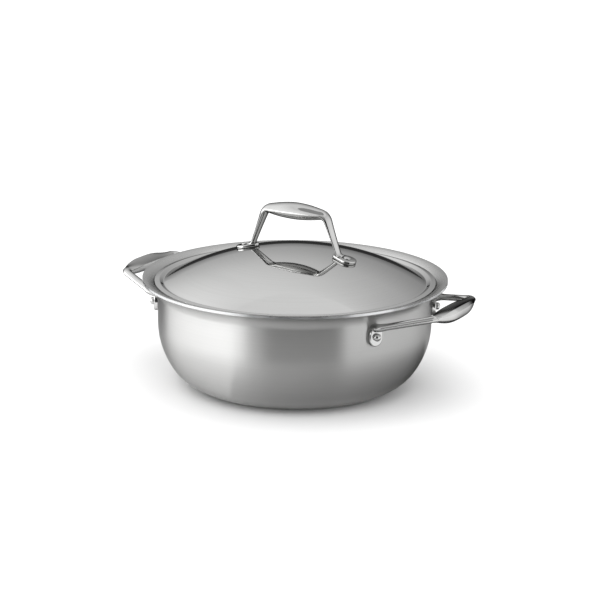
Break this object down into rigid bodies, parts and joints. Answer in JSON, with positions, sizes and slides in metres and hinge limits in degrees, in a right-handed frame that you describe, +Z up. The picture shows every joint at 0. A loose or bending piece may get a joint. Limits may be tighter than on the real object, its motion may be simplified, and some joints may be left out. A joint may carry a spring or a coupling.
{
  "type": "braiser",
  "caption": "Wide round-bottomed stainless steel braising pan with a flared rim, riveted loop side handles and a domed lift-off lid with a bow handle.",
  "frame": {"origin": "centre of the flat base, on the surface the pan stands on", "axes": "+Z up along the pan's axis, +X towards the right side handle, both side handles and the lid handle lie along X, +Y to the back"},
  "size_m": [0.3738, 0.3046, 0.1838],
  "materials": {
    "sheet_steel": "bright polished",
    "core_aluminium": "plain, seen only at the rim's cut edge",
    "lid_steel": "bright polished",
    "cast_steel": "bright polished casting",
    "rivet_steel": "polished"
  },
  "bodies": {
    "pan": {"pan_outer_ply": "sheet_steel", "pan_core_ply": "core_aluminium", "pan_inner_ply": "sheet_steel", "right_side_handle": "cast_steel", "left_side_handle": "cast_steel", "right_handle_rear_rivet": "rivet_steel", "right_handle_front_rivet": "rivet_steel", "left_handle_front_rivet": "rivet_steel", "left_handle_rear_rivet": "rivet_steel"},
    "lid": {"lid_shell": "lid_steel", "lid_handle": "cast_steel", "lid_handle_right_rivet": "rivet_steel", "lid_handle_left_rivet": "rivet_steel"}
  },
  "joints": [
    {"name": "lid_lift", "type": "slide", "parent": "pan", "child": "lid", "axis": [0, 0, 1], "range_m": [0, 0.16]}
  ]
}
